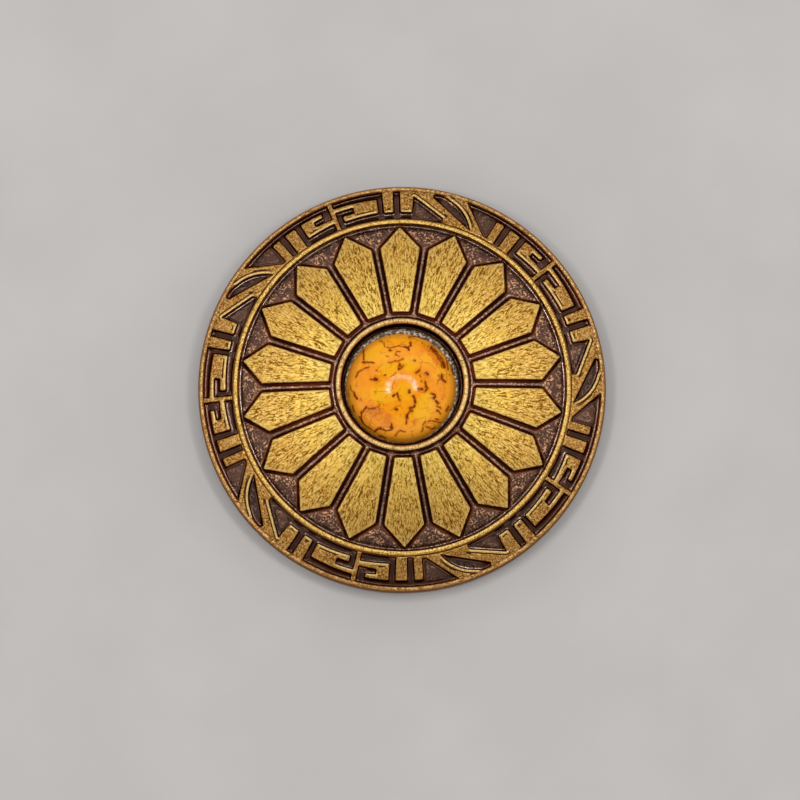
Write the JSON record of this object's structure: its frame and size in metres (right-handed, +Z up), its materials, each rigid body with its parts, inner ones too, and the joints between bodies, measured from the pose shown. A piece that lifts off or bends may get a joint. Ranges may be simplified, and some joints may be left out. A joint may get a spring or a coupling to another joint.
{
  "type": "concho",
  "caption": "Round domed concho in antique brass: fret border, petal rosette, bezel-set orange stone and a threaded post on its hollow back.",
  "frame": {"origin": "on the surface that it lies on, under the middle of the disc", "axes": "+Z up out of the decorated front, +Y towards the top of the pictured face"},
  "size_m": [0.038, 0.038, 0.0081],
  "materials": {
    "antique_brass": "satin",
    "orange_stone": "gloss",
    "plain_brass": "satin"
  },
  "bodies": {
    "root": {"concho_body": "antique_brass", "cabochon": "orange_stone", "screw_post": "plain_brass"}
  },
  "joints": []
}
